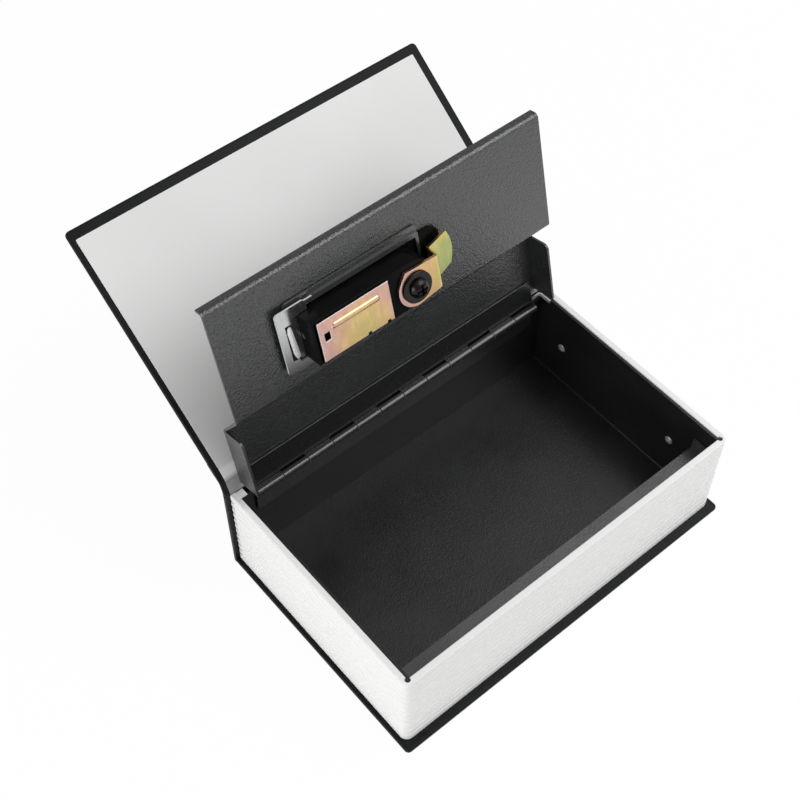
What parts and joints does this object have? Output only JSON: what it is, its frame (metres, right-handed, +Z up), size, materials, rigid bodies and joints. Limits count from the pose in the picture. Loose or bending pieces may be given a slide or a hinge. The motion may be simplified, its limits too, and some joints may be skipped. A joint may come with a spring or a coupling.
{
  "type": "book diversion safe",
  "caption": "Steel cash tray with a stepped hinged lid and combination lock, hidden in a hard-cover book case with moulded page edges.",
  "frame": {"origin": "middle of the back cover's underside, on the surface the book lies on", "axes": "+X along the spine, +Y from the fore-edge towards the spine, +Z up"},
  "size_m": [0.18, 0.2108, 0.1507],
  "materials": {
    "leatherette": "fine-grained black leatherette over board",
    "endpaper": "matt pale grey paper",
    "page_plastic": "white plastic moulded with page lines",
    "black_steel": "black painted sheet steel",
    "grey_steel": "dark grey textured enamel on sheet steel",
    "rivet_metal": "dull steel",
    "bright_chrome": "bright plated steel",
    "zinc_yellow": "yellow-passivated zinc plate with pink and green tints",
    "black_plastic": "black moulded plastic"
  },
  "bodies": {
    "case": {"back_cover": "leatherette", "spine_board": "leatherette", "spine_joint_cloth": "leatherette", "page_block": "page_plastic", "tray": "black_steel", "tray_front": "grey_steel", "tray_rivet_1": "rivet_metal", "tray_rivet_2": "rivet_metal", "tray_rivet_3": "rivet_metal", "tray_rivet_4": "rivet_metal", "hinge_leaf_tray": "black_steel", "hinge_pin": "rivet_metal"},
    "cover": {"front_cover": "leatherette", "front_endpaper": "endpaper", "cover_joint_cloth": "leatherette"},
    "lid": {"lid": "grey_steel", "hinge_leaf_lid": "black_steel", "lock_frame": "grey_steel", "lock_housing": "black_plastic", "lock_bezel": "black_plastic", "lock_cover_plate": "zinc_yellow", "retaining_clip": "bright_chrome", "dial_axle": "bright_chrome", "detent_spring": "bright_chrome", "locking_slide": "zinc_yellow"},
    "cam": {"turn_knob": "black_plastic", "knob_spindle": "black_plastic", "cam_lever": "zinc_yellow", "cam_washer": "black_plastic", "cam_screw": "black_steel"},
    "dial_1": {"number_dial_1": "black_plastic", "tumbler_1": "zinc_yellow"},
    "dial_2": {"number_dial_2": "black_plastic", "tumbler_2": "zinc_yellow"},
    "dial_3": {"number_dial_3": "black_plastic", "tumbler_3": "zinc_yellow"}
  },
  "joints": [
    {"name": "lid_hinge", "type": "hinge", "parent": "case", "child": "lid", "pos_m": [0, 0.05205, 0.0484], "axis": [1, 0, 0], "range_deg": [0, 104]},
    {"name": "cover_hinge", "type": "hinge", "parent": "case", "child": "cover", "pos_m": [0, 0.05935, 0.056], "axis": [1, 0, 0], "range_deg": [-60, 143]},
    {"name": "cam_turn", "type": "hinge", "parent": "lid", "child": "cam", "pos_m": [0.0017, 0.06923, 0.11729], "axis": [0, -0.9703, 0.2419], "range_deg": [0, 90]},
    {"name": "dial_1_turn", "type": "hinge", "parent": "lid", "child": "dial_1", "pos_m": [-0.0367, 0.05545, 0.12155], "axis": [1, 0, 0], "continuous": true},
    {"name": "dial_2_turn", "type": "hinge", "parent": "lid", "child": "dial_2", "pos_m": [-0.0272, 0.05545, 0.12155], "axis": [1, 0, 0], "continuous": true},
    {"name": "dial_3_turn", "type": "hinge", "parent": "lid", "child": "dial_3", "pos_m": [-0.0177, 0.05545, 0.12155], "axis": [1, 0, 0], "continuous": true}
  ],
  "couplings": [
    {"joint": "cover_hinge", "follows": "lid_hinge", "ratio": 1.375}
  ]
}
